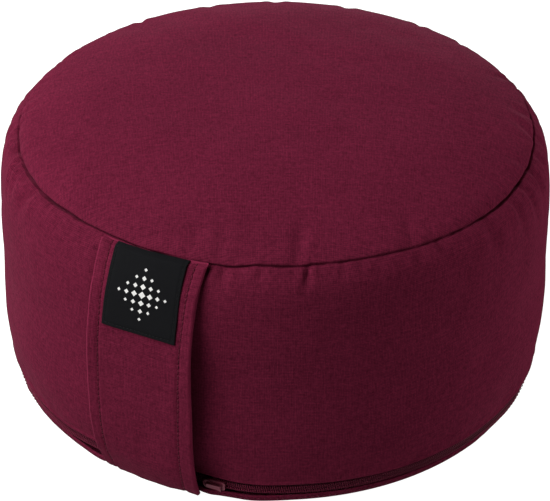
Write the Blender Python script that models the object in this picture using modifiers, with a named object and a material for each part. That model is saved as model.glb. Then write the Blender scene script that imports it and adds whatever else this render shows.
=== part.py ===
"""Round zafu meditation cushion: a filled body on a zipped base panel, with a strap handle and a label.

Metres, +Z up.  The origin is the centre of the base on the surface it rests on.  The handle faces -Y,
and angles round the cushion are counted from the handle, positive towards +X.
"""
import math
from collections import namedtuple

import bmesh
import bpy
from mathutils import Matrix, Vector

MM = 0.001
GAP = 0.3 * MM                     # clearance between pieces that touch
WELD = 0.02 * MM                   # points nearer than this become one
SHARP_ANGLE = 40                   # edges sharper than this are shaded as edges, in degrees

# Filled body: a domed top panel, a side band and a folded hem above the zip.
BODY_SEGMENTS = 108
SEAM_RADIUS = 151.8 * MM
SEAM_HEIGHT = 156.4 * MM
CROWN_RISE = 24.3 * MM             # from the top seam to the middle of the dome
CROWN_STEPS = 10
CROWN_FULLNESS = 3.0               # higher is flatter in the middle
CROWN_ROLL = 0.715                 # lower rolls over more tightly at the seam
BAND_STEPS = 14
HEM_HEIGHT = 15.9 * MM
HEM_FOLD = 0.6 * MM                # the folded edge is rounded this much
CORE_RADIUS = 156.4 * MM           # the body inside the zip tape
CORE_FLOOR = 2.6 * MM              # its underside, just above the base panel

# The rounded lower edge of the body: how far in from the core and up from its floor each corner is.
CORE_CORNERS = [(0.0, 4.4), (2.2, 1.6), (5.6, 0.0)]

# The band's radius, by its share of the way down from the seam to the hem.
BandRow = namedtuple("BandRow", "share radius_mm")
BAND = [
    BandRow(0.00, 151.8),
    BandRow(0.06, 158.5),
    BandRow(0.15, 161.8),
    BandRow(0.32, 163.4),
    BandRow(0.55, 163.8),
    BandRow(0.80, 165.0),
    BandRow(1.00, 162.4),
]

# Puckers where the fullness of the panels is eased into the top seam: their angle from the handle,
# half width, depth into the top panel and depth into the band.
Pucker = namedtuple("Pucker", "angle width top_mm side_mm")
PUCKERS = [
    Pucker(15.5, 3.2, 0.8, 1.6),
    Pucker(31.5, 3.2, 1.4, 2.4),
    Pucker(55.0, 3.0, 1.2, 1.8),
    Pucker(62.0, 3.0, 1.0, 1.8),
    Pucker(77.5, 3.4, 1.2, 2.0),
    Pucker(86.5, 3.0, 0.4, 1.6),
    Pucker(97.0, 3.8, 0.6, 2.0),
    Pucker(114.0, 5.0, 1.8, 0.8),
    Pucker(135.0, 4.0, 1.4, 1.4),
    Pucker(154.0, 3.4, 0.9, 1.9),
    Pucker(168.0, 3.2, 1.2, 1.5),
    Pucker(188.0, 4.2, 1.0, 2.1),
    Pucker(205.0, 3.2, 1.3, 1.4),
    Pucker(223.0, 4.0, 0.8, 1.8),
    Pucker(241.0, 3.4, 1.2, 1.5),
    Pucker(268.0, 3.6, 1.2, 1.4),
    Pucker(281.0, 3.4, 1.0, 1.4),
    Pucker(295.5, 3.4, 1.4, 1.2),
    Pucker(312.0, 3.8, 0.6, 1.8),
]
TOP_PUCKER_REACH = 16.0 * MM       # they fade over this length from the seam
SIDE_PUCKER_REACH = 20.0 * MM

# The handle draws the band in where it is sewn down, and with it all that lies below the hem.
PRESS_DEPTH = 2.5 * MM
PRESS_HALF_ANGLE = 19.0
PRESS_REACH = 16.0 * MM

# Base panel: a flat round of cloth whose edge turns up to the zip.
RING_SEGMENTS = 90
BASE_RADIUS = 153.4 * MM
BASE_THICKNESS = 2.2 * MM
RIM_RADIUS = 159.8 * MM
RIM_HEIGHT = 6.6 * MM
RIM_THICKNESS = 1.4 * MM
RIM_STEPS = 4

# Zip: a tape behind the closed coil, a slider with its bridge, and a short pull.
TAPE_RADIUS = 157.2 * MM
TAPE_THICKNESS = 0.8 * MM
TAPE_FLOOR = 5.4 * MM
TAPE_TOP = 14.9 * MM
COIL_RADIUS = 159.3 * MM
COIL_DEPTH = 2.5 * MM
COIL_HEIGHT = 4.4 * MM
COIL_LEVEL = 9.6 * MM
COIL_SIDES = 6
SLIDER_ANGLE = 13.4
SLIDER_LENGTH = 13.0 * MM
SLIDER_HEIGHT = 5.6 * MM
SLIDER_THICKNESS = 1.2 * MM
SLIDER_CORNER = 1.4 * MM
SLIDER_CORNER_STEPS = 3
BRIDGE_LENGTH = 9.2 * MM
BRIDGE_RISE = 2.3 * MM
BRIDGE_BAR = 1.1 * MM
BRIDGE_WIDTH = 2.4 * MM
PULL_LENGTH = 9.0 * MM
PULL_WIDTH = 4.6 * MM
PULL_THICKNESS = 0.5 * MM
PULL_EYE_RADIUS = 1.75 * MM
PULL_EYE_BAR = 1.0 * MM
PULL_NECK_ANGLE = 60               # from the tab's axis to where the eye meets the tab
PULL_TILT = -33.0
ROUND_STEPS = 8

# Handle: a flat strap from the top seam to under the base edge.  A row gives the height and reach of
# its middle, how far its edges bow back, and how far its left edge stands further out than that.
HANDLE_HALF_WIDTH = 32.5 * MM
HANDLE_THICKNESS = 2.2 * MM
HANDLE_ACROSS = 10
HANDLE_ALONG = 34
HANDLE_PROBE = 0.5 * MM            # step over which its direction is measured
StrapRow = namedtuple("StrapRow", "height_mm reach_mm bow_mm lean_mm")
STRAP = [
    StrapRow(156.8, 153.0, 3.4, 0.0),
    StrapRow(150.0, 157.2, 3.2, 0.0),
    StrapRow(143.0, 160.8, 2.8, 0.5),
    StrapRow(130.0, 165.2, 2.2, 2.0),
    StrapRow(117.0, 168.6, 1.7, 1.4),
    StrapRow(105.0, 170.8, 1.4, 1.1),
    StrapRow(86.0, 172.6, 1.2, 0.8),
    StrapRow(62.0, 173.0, 1.2, 0.4),
    StrapRow(45.0, 172.4, 1.3, -0.2),
    StrapRow(26.0, 169.6, 1.8, -1.0),
    StrapRow(12.0, 164.6, 2.6, -0.9),
    StrapRow(5.0, 160.4, 3.2, -0.3),
    StrapRow(1.6, 157.4, 3.3, 0.0),
]

# Label: a woven tag over the upper part of the handle.
LABEL_HALF_WIDTH = 22.0 * MM
LABEL_LENGTH = 46.6 * MM
LABEL_START = 0.8 * MM
LABEL_THICKNESS = 0.9 * MM
LABEL_ACROSS = 8
LABEL_ALONG = 12

# Colours as sRGB shares of full, with roughness and metallic value.
Finish = namedtuple("Finish", "red green blue roughness metallic")
CANVAS = Finish(0.40, 0.12, 0.21, 0.90, 0.0)
LABEL_CLOTH = Finish(0.09, 0.09, 0.10, 0.80, 0.0)
ZIP_TAPE = Finish(0.33, 0.09, 0.17, 0.85, 0.0)
ZIP_NYLON = Finish(0.36, 0.10, 0.19, 0.45, 0.0)
LACQUER = Finish(0.42, 0.12, 0.22, 0.35, 0.6)


def clear_scene():
    for old in list(bpy.data.objects):
        bpy.data.objects.remove(old, do_unlink=True)


def new_collection(name):
    collection = bpy.data.collections.new(name)
    bpy.context.scene.collection.children.link(collection)
    return collection


def new_material(name, finish):
    """A Principled material; its sRGB colour is turned into the linear value that the shader takes."""
    material = bpy.data.materials.new(name)
    material.use_nodes = True
    shader = material.node_tree.nodes["Principled BSDF"]
    linear = [((c + 0.055) / 1.055) ** 2.4 if c > 0.04045 else c / 12.92 for c in finish[:3]]
    shader.inputs["Base Color"].default_value = (*linear, 1.0)
    shader.inputs["Roughness"].default_value = finish.roughness
    shader.inputs["Metallic"].default_value = finish.metallic
    material.diffuse_color = (*linear, 1.0)
    return material


def new_object(name, mesh, collection, finish):
    mesh.materials.append(new_material(name, finish))
    mesh.shade_smooth()
    mesh.set_sharp_from_angle(angle=math.radians(SHARP_ANGLE))
    obj = bpy.data.objects.new(name, mesh)
    collection.objects.link(obj)
    return obj


def smooth(rows, x):
    """The rows' (x, y) pairs, in rising x, joined by a smooth curve and read at x."""
    last = len(rows) - 1
    slopes = []
    for i in range(last + 1):
        before = rows[max(i - 1, 0)]
        after = rows[min(i + 1, last)]
        slopes.append((after[1] - before[1]) / (after[0] - before[0]))
    i = 0
    while i < last - 1 and x > rows[i + 1][0]:
        i += 1
    (x0, y0), (x1, y1) = rows[i], rows[i + 1]
    span = x1 - x0
    t = min(max((x - x0) / span, 0.0), 1.0)
    start_pull = t * (1 - t) ** 2 * slopes[i] * span
    end_pull = -t * t * (1 - t) * slopes[i + 1] * span
    return y0 + (y1 - y0) * t * t * (3 - 2 * t) + start_pull + end_pull


def turned(name, points, segments, closed=False):
    """Turns (radius, height) points round Z.  A closed outline makes a ring, an open one a solid."""
    bm = bmesh.new()
    verts = [bm.verts.new((0.0, -radius, height)) for radius, height in points]
    edges = [bm.edges.new(pair) for pair in zip(verts, verts[1:])]
    if closed:
        edges.append(bm.edges.new((verts[-1], verts[0])))
    bmesh.ops.spin(bm, geom=verts + edges, cent=(0, 0, 0), axis=(0, 0, 1), angle=math.tau,
                   steps=segments, use_merge=True)
    bmesh.ops.remove_doubles(bm, verts=bm.verts, dist=WELD)
    bmesh.ops.recalc_face_normals(bm, faces=bm.faces)
    return finish_mesh(name, bm)


def finish_mesh(name, bm):
    mesh = bpy.data.meshes.new(name)
    bm.to_mesh(mesh)
    bm.free()
    return mesh


def bell(distance, width):
    return math.exp(-(distance / width) ** 2)


def turn_between(angle, other):
    """The angle between two directions, in degrees, from -180 to 180."""
    return (angle - other + 180.0) % 360.0 - 180.0


# Filled body

def crown_points():
    points = []
    for i in range(CROWN_STEPS + 1):
        share = math.sin(i / CROWN_STEPS * math.pi / 2)
        rise = CROWN_RISE * max(1 - share ** CROWN_FULLNESS, 0.0) ** CROWN_ROLL
        points.append((SEAM_RADIUS * share, SEAM_HEIGHT + rise))
    return points


def band_points():
    points = []
    for i in range(1, BAND_STEPS + 1):
        share = (1 - math.cos(i / BAND_STEPS * math.pi)) / 2
        height = SEAM_HEIGHT + (HEM_HEIGHT - SEAM_HEIGHT) * share
        points.append((smooth(BAND, share) * MM, height))
    return points


def underside_points():
    hem_radius = BAND[-1].radius_mm * MM
    under_hem = TAPE_TOP + GAP
    points = [(hem_radius - HEM_FOLD, under_hem), (CORE_RADIUS, under_hem)]
    for inwards, upwards in CORE_CORNERS:
        points.append((CORE_RADIUS - inwards * MM, CORE_FLOOR + upwards * MM))
    return points + [(0.0, CORE_FLOOR)]


def handle_press(angle):
    """How far the handle draws the cushion in at this angle, where it is sewn down."""
    return PRESS_DEPTH * bell(turn_between(angle, 0.0) ** 2, PRESS_HALF_ANGLE ** 2)


def body_hollow(angle, height, on_top):
    """How deep the surface is drawn in by the puckers and by the handle's ends."""
    seam_drop = abs(height - SEAM_HEIGHT)
    reach = TOP_PUCKER_REACH if on_top else SIDE_PUCKER_REACH
    depth = 0.0
    for row in PUCKERS:
        row_depth = row.top_mm if on_top else row.side_mm
        depth += row_depth * MM * bell(turn_between(angle, row.angle), row.width)
    depth *= bell(seam_drop, reach)
    if not on_top:
        above_hem = max(height - HEM_HEIGHT, 0.0)
        depth += handle_press(angle) * (bell(seam_drop, PRESS_REACH) + bell(above_hem, PRESS_REACH))
    return depth


def draw_in(mesh):
    """Moves the outer surface in: the top panel down by its distance from the seam, the rest inwards."""
    for vertex in mesh.vertices:
        x, y, height = vertex.co
        radius = math.hypot(x, y)
        if radius < SEAM_RADIUS / 2:
            continue
        angle = math.degrees(math.atan2(x, -y))
        if height > SEAM_HEIGHT + GAP:
            from_seam = bell(SEAM_RADIUS - radius, TOP_PUCKER_REACH)
            vertex.co.z -= body_hollow(angle, SEAM_HEIGHT, True) * from_seam
        else:
            shrink = 1 - body_hollow(angle, height, False) / radius
            vertex.co.x *= shrink
            vertex.co.y *= shrink


def make_body(collection):
    points = crown_points() + band_points() + underside_points()
    mesh = turned("cushion", points, BODY_SEGMENTS)
    draw_in(mesh)
    return new_object("cushion", mesh, collection, CANVAS)


# Base panel and zip

def make_base_panel(collection):
    """The flat disc, a quarter-round turn up at its edge, and the same line back inside the cloth."""
    rise = RIM_HEIGHT - RIM_THICKNESS / 2
    inner_radius = BASE_RADIUS - BASE_THICKNESS
    outer = []
    inner = []
    for i in range(RIM_STEPS + 1):
        turn = i / RIM_STEPS * math.pi / 2
        outwards = math.sin(turn)
        upwards = 1 - math.cos(turn)
        outer.append((BASE_RADIUS + (RIM_RADIUS - BASE_RADIUS) * outwards, rise * upwards))
        inner.append((inner_radius + (RIM_RADIUS - RIM_THICKNESS - inner_radius) * outwards,
                      BASE_THICKNESS + (rise - BASE_THICKNESS) * upwards))
    fold = (RIM_RADIUS - RIM_THICKNESS / 2, RIM_HEIGHT)
    points = [(0.0, 0.0), *outer, fold, *reversed(inner), (0.0, BASE_THICKNESS)]
    mesh = turned("base_panel", points, RING_SEGMENTS)
    draw_in(mesh)
    return new_object("base_panel", mesh, collection, CANVAS)


def make_zip_tape(collection):
    inside = TAPE_RADIUS - TAPE_THICKNESS / 2
    outside = TAPE_RADIUS + TAPE_THICKNESS / 2
    outline = [(inside, TAPE_FLOOR), (outside, TAPE_FLOOR), (outside, TAPE_TOP), (inside, TAPE_TOP)]
    mesh = turned("zip_tape", outline, RING_SEGMENTS, closed=True)
    draw_in(mesh)
    return new_object("zip_tape", mesh, collection, ZIP_TAPE)


def make_zip_coil(collection):
    outline = []
    for i in range(COIL_SIDES):
        turn = (i + 0.5) / COIL_SIDES * math.tau
        outline.append((COIL_RADIUS + COIL_DEPTH / 2 * math.cos(turn),
                        COIL_LEVEL + COIL_HEIGHT / 2 * math.sin(turn)))
    mesh = turned("zip_coil", outline, RING_SEGMENTS, closed=True)
    draw_in(mesh)
    return new_object("zip_coil", mesh, collection, ZIP_NYLON)


def flat_piece(name, outlines, thickness, collection, finish):
    """A flat piece from 2D outlines, in its local XY plane and centred on it."""
    curve = bpy.data.curves.new(name, "CURVE")
    curve.dimensions = "2D"
    curve.fill_mode = "BOTH"
    curve.extrude = thickness / 2
    for outline in outlines:
        spline = curve.splines.new("POLY")
        spline.points.add(len(outline) - 1)
        for point, (x, y) in zip(spline.points, outline):
            point.co = (x, y, 0.0, 1.0)
        spline.use_cyclic_u = True
    source = bpy.data.objects.new(name + "_outline", curve)
    collection.objects.link(source)
    evaluated = source.evaluated_get(bpy.context.evaluated_depsgraph_get())
    mesh = bpy.data.meshes.new_from_object(evaluated)
    bpy.data.objects.remove(source, do_unlink=True)
    bpy.data.curves.remove(curve)
    bm = bmesh.new()
    bm.from_mesh(mesh)
    bpy.data.meshes.remove(mesh)
    bmesh.ops.remove_doubles(bm, verts=bm.verts, dist=WELD)
    bmesh.ops.recalc_face_normals(bm, faces=bm.faces)
    return new_object(name, finish_mesh(name, bm), collection, finish)


def arc(centre_x, radius, start, end):
    points = []
    for i in range(ROUND_STEPS + 1):
        turn = math.radians(start + (end - start) * i / ROUND_STEPS)
        points.append((centre_x + radius * math.cos(turn), radius * math.sin(turn)))
    return points


def seat_on_zip(obj, reach):
    """Stands a piece on the zip: its local Z faces out of the cushion and its local Y is up."""
    angle = math.radians(SLIDER_ANGLE)
    radius = COIL_RADIUS + COIL_DEPTH / 2 + GAP + reach - handle_press(SLIDER_ANGLE)
    obj.location = (radius * math.sin(angle), -radius * math.cos(angle), COIL_LEVEL)
    obj.rotation_euler = (math.radians(90), 0.0, angle)


def make_bridge(cutters):
    """A low arch along the slider, drawn from the side and extruded over its width."""
    half = BRIDGE_LENGTH / 2
    slope = BRIDGE_RISE / 4
    foot = -SLIDER_THICKNESS / 4
    under = BRIDGE_RISE - BRIDGE_BAR
    outline = [
        (-half, foot),
        (-half, BRIDGE_RISE - slope),
        (-half + slope, BRIDGE_RISE),
        (half - slope, BRIDGE_RISE),
        (half, BRIDGE_RISE - slope),
        (half, foot),
        (half - BRIDGE_BAR, foot),
        (half - BRIDGE_BAR, under),
        (-half + BRIDGE_BAR, under),
        (-half + BRIDGE_BAR, foot),
    ]
    bridge = flat_piece("slider_bridge", [outline], BRIDGE_WIDTH, cutters, LACQUER)
    bridge.data.transform(Matrix.Rotation(math.radians(90), 4, "X"))
    bridge.data.transform(Matrix.Translation((0.0, 0.0, SLIDER_THICKNESS / 2)))
    bridge.hide_render = True
    bridge.display_type = "WIRE"
    return bridge


def make_zip_slider(collection, cutters):
    """A bevelled plate over the coil, joined to the low bridge that carries the pull."""
    bm = bmesh.new()
    bmesh.ops.create_cube(bm, size=1.0)
    bmesh.ops.scale(bm, vec=(SLIDER_LENGTH, SLIDER_HEIGHT, SLIDER_THICKNESS), verts=bm.verts)
    upright = [edge for edge in bm.edges if abs(edge.verts[0].co.z - edge.verts[1].co.z) > GAP]
    bmesh.ops.bevel(bm, geom=upright, offset=SLIDER_CORNER, segments=SLIDER_CORNER_STEPS, profile=0.5,
                    affect="EDGES")
    slider = new_object("zip_slider", finish_mesh("zip_slider", bm), collection, LACQUER)
    bridge = make_bridge(cutters)
    seat_on_zip(slider, SLIDER_THICKNESS / 2)
    seat_on_zip(bridge, SLIDER_THICKNESS / 2)
    union = slider.modifiers.new("bridge", "BOOLEAN")
    union.operation = "UNION"
    union.solver = "EXACT"
    union.object = bridge
    return slider


def make_zip_pull(collection):
    """A rounded tab whose eye goes round the bridge's left post, hanging down to the right."""
    eye = PULL_EYE_RADIUS + PULL_EYE_BAR
    tip = PULL_LENGTH - PULL_WIDTH / 2
    outside = arc(0.0, eye, PULL_NECK_ANGLE, 360 - PULL_NECK_ANGLE) + arc(tip, PULL_WIDTH / 2, -90, 90)
    hole = arc(0.0, PULL_EYE_RADIUS, 0, 360)[:-1]
    pull = flat_piece("zip_pull", [outside, hole], PULL_THICKNESS, collection, LACQUER)
    pull.data.transform(Matrix.Rotation(math.radians(PULL_TILT), 4, "Z"))
    post = -BRIDGE_LENGTH / 2 + BRIDGE_BAR / 2
    pull.data.transform(Matrix.Translation((post, 0.0, 0.0)))
    seat_on_zip(pull, SLIDER_THICKNESS + GAP + PULL_THICKNESS / 2)
    return pull


# Handle and label

def strap_length():
    length = 0.0
    for row, following in zip(STRAP, STRAP[1:]):
        length += math.hypot(following.height_mm - row.height_mm, following.reach_mm - row.reach_mm)
    return length * MM


def strap_column(column, distance):
    """A column of the strap's table, read at a distance down the strap from the seam."""
    rows = []
    length = 0.0
    for row, before in zip(STRAP, STRAP[:1] + STRAP):
        length += math.hypot(row.height_mm - before.height_mm, row.reach_mm - before.reach_mm)
        rows.append((length * MM, getattr(row, column) * MM))
    return smooth(rows, distance)


def strap_middle(distance):
    """Reach and height of the strap's middle line, and the direction that it faces."""
    reach = strap_column("reach_mm", distance)
    height = strap_column("height_mm", distance)
    ahead = min(distance + HANDLE_PROBE, strap_length())
    behind = max(distance - HANDLE_PROBE, 0.0)
    run = Vector((strap_column("reach_mm", ahead) - strap_column("reach_mm", behind),
                  strap_column("height_mm", ahead) - strap_column("height_mm", behind)))
    run.normalize()
    return reach, height, Vector((-run.y, run.x))


def strap_point(across, distance, lift):
    """A point at this width and distance down the strap, raised off its middle surface by lift."""
    reach, height, out = strap_middle(distance)
    share = across / HANDLE_HALF_WIDTH
    reach -= strap_column("bow_mm", distance) * share ** 2 + strap_column("lean_mm", distance) * share
    return Vector((across, -(reach + out.x * lift), height + out.y * lift))


def cloth_strip(name, half_width, start, length, lift, thickness, steps, collection, finish):
    """A strip of cloth laid along the handle's path, as a grid made solid on both sides of it."""
    across_steps, along_steps = steps
    bm = bmesh.new()
    bmesh.ops.create_grid(bm, x_segments=across_steps, y_segments=along_steps, size=1.0)
    for vertex in bm.verts:
        distance = start + (1 - vertex.co.y) / 2 * length
        vertex.co = strap_point(vertex.co.x * half_width, distance, lift)
    strip = new_object(name, finish_mesh(name, bm), collection, finish)
    solidify = strip.modifiers.new("thickness", "SOLIDIFY")
    solidify.thickness = thickness
    solidify.offset = 0.0
    return strip


def make_handle(collection):
    return cloth_strip("handle", HANDLE_HALF_WIDTH, 0.0, strap_length(), 0.0, HANDLE_THICKNESS,
                       (HANDLE_ACROSS, HANDLE_ALONG), collection, CANVAS)


def make_label(collection):
    lift = (HANDLE_THICKNESS + LABEL_THICKNESS) / 2 + GAP
    return cloth_strip("label", LABEL_HALF_WIDTH, LABEL_START, LABEL_LENGTH, lift, LABEL_THICKNESS,
                       (LABEL_ACROSS, LABEL_ALONG), collection, LABEL_CLOTH)


def build():
    clear_scene()
    collection = new_collection("zafu_cushion")
    cutters = new_collection("cutters")
    make_body(collection)
    make_base_panel(collection)
    make_zip_tape(collection)
    make_zip_coil(collection)
    make_zip_slider(collection, cutters)
    make_zip_pull(collection)
    make_handle(collection)
    make_label(collection)


build()
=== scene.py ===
"""Looks of the round zafu meditation cushion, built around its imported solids.

Metres, +Z up.  Lengths are in millimetres until a mesh is made.  The handle faces -Y, and angles
round the cushion are counted from it in degrees, positive towards +X, as in the part's source.
"""
import math
from collections import namedtuple

import bpy
import numpy as np
from mathutils import Matrix, Vector


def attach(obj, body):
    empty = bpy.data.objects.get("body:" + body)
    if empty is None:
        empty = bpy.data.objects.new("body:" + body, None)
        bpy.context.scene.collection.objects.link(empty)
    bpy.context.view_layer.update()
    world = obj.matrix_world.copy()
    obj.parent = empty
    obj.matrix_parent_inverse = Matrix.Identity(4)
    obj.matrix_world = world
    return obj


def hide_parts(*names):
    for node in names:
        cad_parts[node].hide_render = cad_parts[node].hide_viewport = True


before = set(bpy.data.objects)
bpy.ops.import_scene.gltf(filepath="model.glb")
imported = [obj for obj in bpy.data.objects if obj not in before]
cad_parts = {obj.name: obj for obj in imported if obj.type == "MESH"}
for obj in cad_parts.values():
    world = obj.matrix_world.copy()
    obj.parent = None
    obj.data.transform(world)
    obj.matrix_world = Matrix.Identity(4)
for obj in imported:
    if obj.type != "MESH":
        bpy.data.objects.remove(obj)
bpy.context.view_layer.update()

MM = 0.001

# Sizes that the part's source gives as well.
SEAM_RADIUS = 151.8
SEAM_HEIGHT = 156.4
CROWN_RISE = 24.3
CROWN_FULLNESS = 3.0
CROWN_ROLL = 0.715
BAND = [  # share of the way from the seam down to the hem, radius
    (0.0, 151.8), (0.06, 158.5), (0.15, 161.8), (0.32, 163.4),
    (0.55, 163.8), (0.80, 165.0), (1.0, 162.4),
]
HEM_HEIGHT = 15.9
CORE_RADIUS = 156.4
CORE_FLOOR = 2.6
BASE_RADIUS = 153.4
RIM_RADIUS = 159.8
RIM_HEIGHT = 6.6
TAPE_RADIUS = 157.2
TAPE_FLOOR = 5.4
TAPE_TOP = 14.9
COIL_RADIUS = 159.3
COIL_LEVEL = 9.6
PRESS_DEPTH = 2.5
PRESS_HALF_ANGLE = 19.0
PRESS_REACH = 16.0
HANDLE_HALF_WIDTH = 32.5
HANDLE_THICKNESS = 2.2
STRAP = [  # height, reach, bow, lean
    (156.8, 153.0, 3.4, 0.0), (150.0, 157.2, 3.2, 0.0), (143.0, 160.8, 2.8, 0.5),
    (130.0, 165.2, 2.2, 2.0), (117.0, 168.6, 1.7, 1.4), (105.0, 170.8, 1.4, 1.1),
    (86.0, 172.6, 1.2, 0.8), (62.0, 173.0, 1.2, 0.4), (45.0, 172.4, 1.3, -0.2),
    (26.0, 169.6, 1.8, -1.2), (12.0, 164.6, 2.4, -1.9), (5.0, 160.4, 2.7, -1.6),
    (1.6, 157.4, 2.8, -1.4),
]
LABEL_HALF_WIDTH = 22.0
LABEL_LENGTH = 46.6
LABEL_START = 0.2
LABEL_LIFT = 1.85

# The strap's right edge, by distance up from its lower end: how far it draws in towards the folded
# end, and higher up how far it is turned up off the cushion, which draws it in half as far.
STRAP_TAPER = [(0.0, 4.0), (4.5, 2.5), (12.0, 1.0), (26.0, 0.0)]
STRAP_CURL = [
    (26.0, 0.0), (64.0, 0.2), (88.0, 1.0), (107.0, 1.9), (132.0, 2.6), (146.0, 1.7), (162.0, 0.0),
]
# The label hangs a little askew: its shift to the right, that of its lower edge, how much wider
# that edge is, and its slope.
LABEL_SHIFT = 0.2
LABEL_DRIFT = -0.2
LABEL_FLARE = 0.03
LABEL_SKEW = 0.03

# How far the top seam lies below its level, by angle, where the photo shows its small waves; the
# middle and half width of the angles that it shows; and how far from the seam a wave reaches.
SEAM_WAVES = [
    (-63, 1.7), (-60, 2.0), (-57, 0.9), (-54, 3.4), (-51, 1.4), (-43, 2.0), (-39, 1.0), (-36, 1.8),
    (-29, 1.0), (-24, -0.5), (-20, 0.0), (-13, -0.2), (-9, -0.1), (-4, 0.5), (3, 0.6), (13, 1.4),
    (17, 1.6), (22, -0.8), (31, 0.1), (33, -0.8), (52, -0.5), (55, 0.2), (63, 0.4), (73, 0.8),
    (76, 1.4), (84, 1.7), (88, 0.9), (91, 1.4), (95, 0.6), (98, 1.8), (101, 0.7), (105, -0.4),
    (110, 1.1),
]
SHOWN_MIDDLE = 25.0
SHOWN_HALF = 88.0
WAVE_REACH = 5.0

# How far the base's edge stands out, by angle, and the middle of those angles.
BASE_SWELL = [
    (-26, 0.0), (-20, 0.1), (-16.5, 0.6), (-12.8, 0.8), (-11, -1.4), (-8, -2.4), (8.5, -2.3),
    (10.5, -0.9), (12.5, 0.3), (14.5, 0.2), (17.5, 0.8), (20, 1.7), (22.5, 1.9), (26.5, 1.3),
    (30, 0.9), (40, 0.7), (52, 0.5), (62, 0.2), (72, -0.2), (80, -0.7), (88, 0.0),
]
SWELL_MIDDLE = 30.0

# At the hem the cloth is drawn in further and over less width, from the first of these angles on
# and in full from the second.
HEM_PRESS_MORE = 3.5
HEM_PRESS_NARROWER = 3.4
HEM_PRESS_ANGLES = (-6.0, 4.0)

# The top seam's crease: depth and width of its cut and of the dip about it, how uneven it is, and
# (angle, width, change) where it is fainter and deeper.  The handle fills it over this half angle,
# by these shares on either side of the seam.
CREASE = [(3.4, 0.6), (0.5, 3.0)]
CREASE_UNEVEN = 0.25
CREASE_CHANGES = [(46.0, 40.0, -0.62), (-45.0, 32.0, 0.9)]
FILLED_HALF_ANGLE = 12.3
FILLED_ABOVE = 0.5
FILLED_BELOW = 0.2

# The folded hem's swollen edge and the groove of its stitches: depth, height above the hem, width.
HEM_EDGE = (0.3, 0.5, 0.8)
HEM_GROOVE = (0.25, 2.2, 1.0)

# The groove that the handle's left edge presses into the band: depth, distance out from that edge,
# width, and where below the seam it starts and is at its full depth.
BESIDE_DEPTH = 1.5
BESIDE_OUT = 1.6
BESIDE_WIDTH = 2.0
BESIDE_START = (3.0, 18.0)

# How far the top panel's threads lie round from the handle's, and the radius in metres at which the
# band's threads have their pitch.
TOP_GRAIN = 25.6
BAND_WEAVE_RADIUS = 0.163

# The cushion's grid, and which side of the top seam a row of it is on.
AROUND = 540
TOP_ROWS = 78
BAND_ROWS = 66
TOP_SIDE = 1
BAND_SIDE = 0
UNDER_SIDE = -1

# Folds that run from the top seam: angle at the seam, angle at their end, half width, depth, where
# they are deepest and how far they reach, in degrees and millimetres.
Fold = namedtuple("Fold", "start end width depth peak reach")
BAND_FOLDS = [Fold(*row) for row in [
    (-50, -46, 2.0, 2.4, 5, 20), (-46, -43.5, 1.8, 1.7, 4, 16), (-36.5, -40.5, 4.4, 2.2, 8, 20),
    (-29.5, -30, 1.8, 0.4, 3, 8), (-24, -25.5, 2.6, 1.0, 5, 12), (15.5, 15, 2.4, 1.2, 4, 14),
    (23, 22.5, 3.0, 0.5, 5, 12), (32.4, 31.2, 1.9, 2.3, 3, 13), (39.5, 39, 3.0, 0.6, 4, 12),
    (47, 46, 2.5, 0.5, 4, 10), (55.6, 56, 3.0, 1.1, 6, 16), (60.8, 62, 2.6, 1.6, 4, 14),
    (67.5, 68, 2.5, 0.6, 3, 10), (74.5, 75.5, 4.4, 1.5, 7, 24), (84.5, 86.5, 3.0, 1.4, 8, 26),
    (90.5, 94, 2.8, 1.7, 8, 30), (97.5, 99.5, 3.0, 1.8, 8, 34), (104, 106, 3.0, 1.2, 6, 26),
    (111, 112, 3.0, 0.9, 5, 20), (123, 121, 3.0, 0.8, 5, 18), (135, 136, 3.2, 1.4, 5, 22),
    (144, 143, 2.4, 0.6, 4, 12), (154, 155, 2.8, 1.7, 5, 20), (168, 167, 3.0, 1.4, 5, 18),
    (188, 189.5, 3.6, 1.8, 6, 24), (205, 204, 2.8, 1.3, 4, 16), (214, 215, 2.2, 0.6, 4, 12),
    (223, 222, 3.2, 1.6, 5, 20), (241, 242, 3.0, 1.4, 5, 18), (254, 253, 2.6, 0.8, 4, 14),
    (268, 269, 3.2, 1.3, 5, 20), (281, 282.5, 3.0, 1.4, 5, 22), (290, 291, 2.4, 0.9, 4, 16),
    (295.5, 296.5, 2.8, 1.2, 5, 22), (302, 304, 2.4, 1.0, 5, 20),
]]
TOP_FOLDS = [Fold(*row) for row in [
    (7.5, 8.2, 3.2, 0.6, 12, 14), (14.6, 13, 3.0, 0.7, 16, 18), (29.6, 33, 3.4, 1.25, 16, 20),
    (46, 45, 3.0, 0.4, 10, 12), (55, 58.5, 4.0, 1.1, 13, 18), (61, 59.5, 2.6, 0.8, 4, 12),
    (77.5, 75, 3.4, 1.0, 10, 18), (84.5, 83, 3.0, 0.6, 10, 16), (96.5, 95.5, 3.4, 0.7, 7, 16),
    (109.5, 113, 4.0, 1.0, 6, 18), (118, 117, 4.0, 0.9, 6, 16), (135, 133.5, 3.2, 1.0, 5, 16),
    (154, 155.5, 3.0, 0.7, 6, 14), (168, 167, 3.0, 0.9, 6, 16), (188, 186.5, 3.4, 0.8, 7, 18),
    (205, 206.5, 3.0, 0.9, 6, 16), (223, 222, 3.2, 0.7, 7, 16), (241, 242.5, 3.0, 0.9, 6, 16),
    (268, 266.5, 3.0, 0.9, 5, 14), (281.5, 280, 2.4, 0.9, 4, 14), (289, 287.5, 2.2, 0.7, 3, 12),
    (294, 292.5, 2.4, 0.9, 4, 14), (312, 311, 3.0, 0.4, 6, 12), (328, 329, 3.2, 0.3, 8, 12),
]]


# Small numbers and fields

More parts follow.
